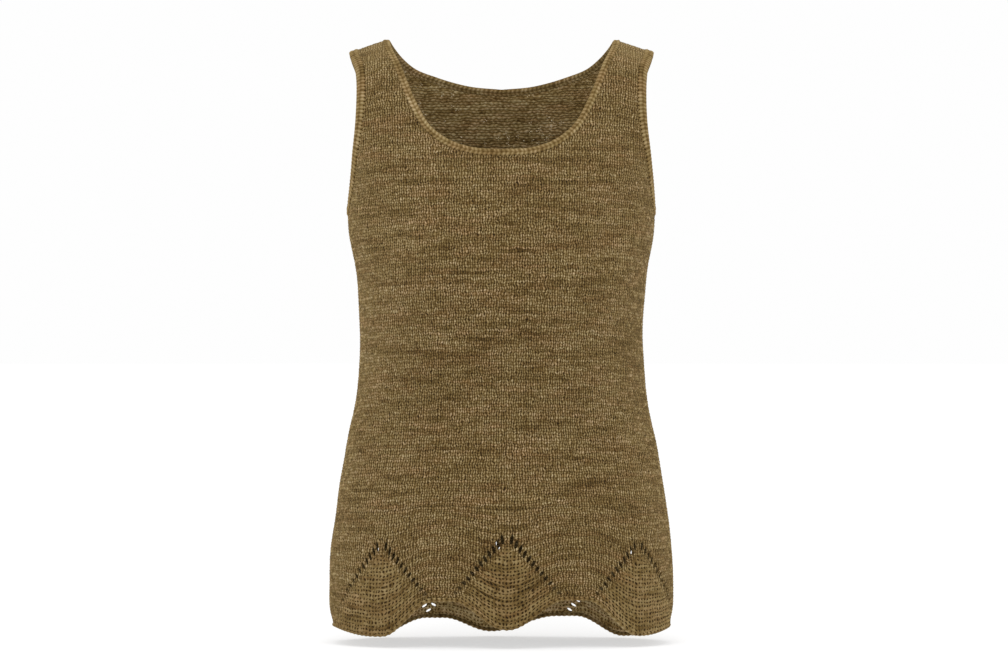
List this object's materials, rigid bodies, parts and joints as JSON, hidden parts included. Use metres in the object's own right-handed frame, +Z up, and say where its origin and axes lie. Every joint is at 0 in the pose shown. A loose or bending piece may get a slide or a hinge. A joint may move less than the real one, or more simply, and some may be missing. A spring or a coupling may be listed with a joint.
{
  "type": "sleeveless knit top",
  "caption": "Sleeveless scoop-neck knit top with a scalloped lace hem, hollow as when worn, with narrow bands at the neck and armholes.",
  "frame": {"origin": "midway between the high points of the shoulders, where the wearer's shoulders hold the garment", "axes": "+Z up, towards the shoulders; the front of the garment faces -Y; +X is to the right of someone who looks at its front"},
  "size_m": [0.378, 0.2371, 0.6611],
  "materials": {
    "panel_knit": "marled olive and brown knit, matt",
    "band_knit": "marled olive and brown knitted edging, matt"
  },
  "bodies": {
    "root": {"front_panel": "panel_knit", "back_panel": "panel_knit", "neck_band": "band_knit", "armhole_band_right": "band_knit", "armhole_band_left": "band_knit"}
  },
  "joints": []
}
